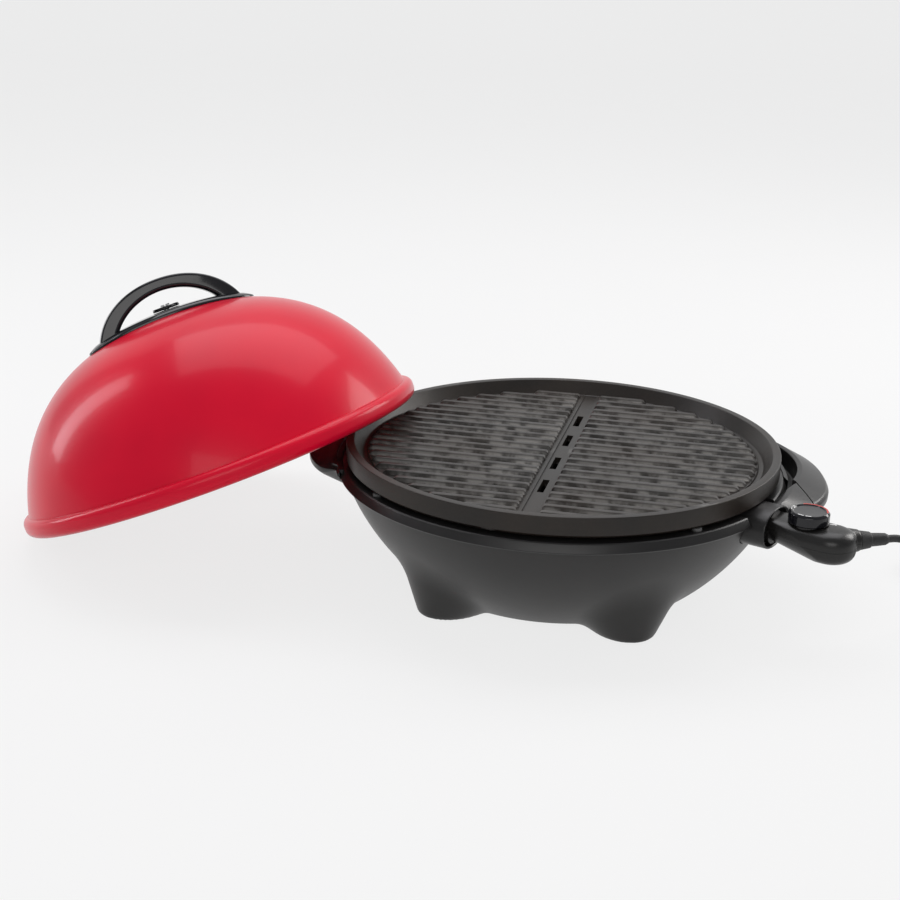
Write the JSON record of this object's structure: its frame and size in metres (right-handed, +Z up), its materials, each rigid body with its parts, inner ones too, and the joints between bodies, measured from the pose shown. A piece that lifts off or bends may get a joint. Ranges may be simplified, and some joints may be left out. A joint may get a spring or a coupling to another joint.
{
  "type": "electric indoor grill with lid",
  "caption": "Round electric table grill: ribbed plate on a bowl base with lobed legs, side handles, plug-in controller and a loose red domed lid.",
  "frame": {"origin": "on the table, under the middle of the grill plate", "axes": "+Z up, -Y towards the cook, +X to the right along the line of the side handles"},
  "size_m": [1.0547, 0.4621, 0.2883],
  "materials": {
    "bowl_plastic": "satin charcoal moulding",
    "band_plastic": "satin black moulding",
    "grip_plastic": "satin black moulding with a soft mottled sheen",
    "cast_nonstick": "dark non-stick coating on die-cast metal",
    "steel": "plated steel",
    "element_steel": "heat-stained steel tube",
    "tray_metal": "pressed aluminium",
    "brass": "bare brass",
    "ceramic": "off-white ceramic",
    "rubber": "black rubber",
    "silicone": "dark silicone",
    "controller_plastic": "satin black moulding",
    "knob_plastic": "polished black",
    "pointer_white": "white print",
    "cord_rubber": "black sheath",
    "red_enamel": "glossy red enamel",
    "handle_black": "glossy black moulding"
  },
  "bodies": {
    "base": {"base_bowl": "bowl_plastic", "rubber_feet": "rubber", "base_ring": "band_plastic", "ring_screws": "steel", "left_handle": "grip_plastic", "right_handle": "grip_plastic", "handle_screws": "steel", "plate_supports": "silicone", "drip_tray": "tray_metal"},
    "grill": {"grill_plate": "cast_nonstick", "heating_element": "element_steel", "terminal_bracket": "steel", "terminal_block": "ceramic", "bracket_screws": "steel", "socket_shroud": "grip_plastic"},
    "controller": {"controller_lower": "controller_plastic", "controller_upper": "controller_plastic", "probe_rod": "steel", "contact_sleeves": "brass", "thermostat_switch": "ceramic", "dial_pointer": "pointer_white", "housing_screws": "steel", "strain_relief": "cord_rubber", "power_cord": "cord_rubber", "cord_coil": "cord_rubber", "plug_body": "cord_rubber", "plug_blades": "brass"},
    "knob": {"temperature_knob": "knob_plastic", "knob_spindle": "steel"},
    "lid": {"lid_dome": "red_enamel", "lid_handle_base": "handle_black", "lid_handle": "handle_black", "lid_screws": "steel", "vent_rivet": "steel"},
    "vent": {"vent_dial": "handle_black"}
  },
  "joints": [
    {"name": "plate_lift", "type": "slide", "parent": "base", "child": "grill", "axis": [0, 0, 1], "range_m": [0, 0.1]},
    {"name": "controller_pull", "type": "slide", "parent": "grill", "child": "controller", "axis": [0.9336, -0.3584, 0], "range_m": [0, 0.09]},
    {"name": "knob_turn", "type": "hinge", "parent": "controller", "child": "knob", "pos_m": [0.25393, -0.09748, 0.126], "axis": [0, 0, 1], "range_deg": [-270, 0]},
    {"name": "lid_lift", "type": "slide", "parent": "grill", "child": "lid", "axis": [-0.3841, 0.0768, 0.9201], "range_m": [0, 0.15]},
    {"name": "vent_turn", "type": "hinge", "parent": "lid", "child": "vent", "pos_m": [-0.43963, 0.02159, 0.24343], "axis": [-0.3841, 0.0768, 0.9201], "range_deg": [0, 60]}
  ]
}
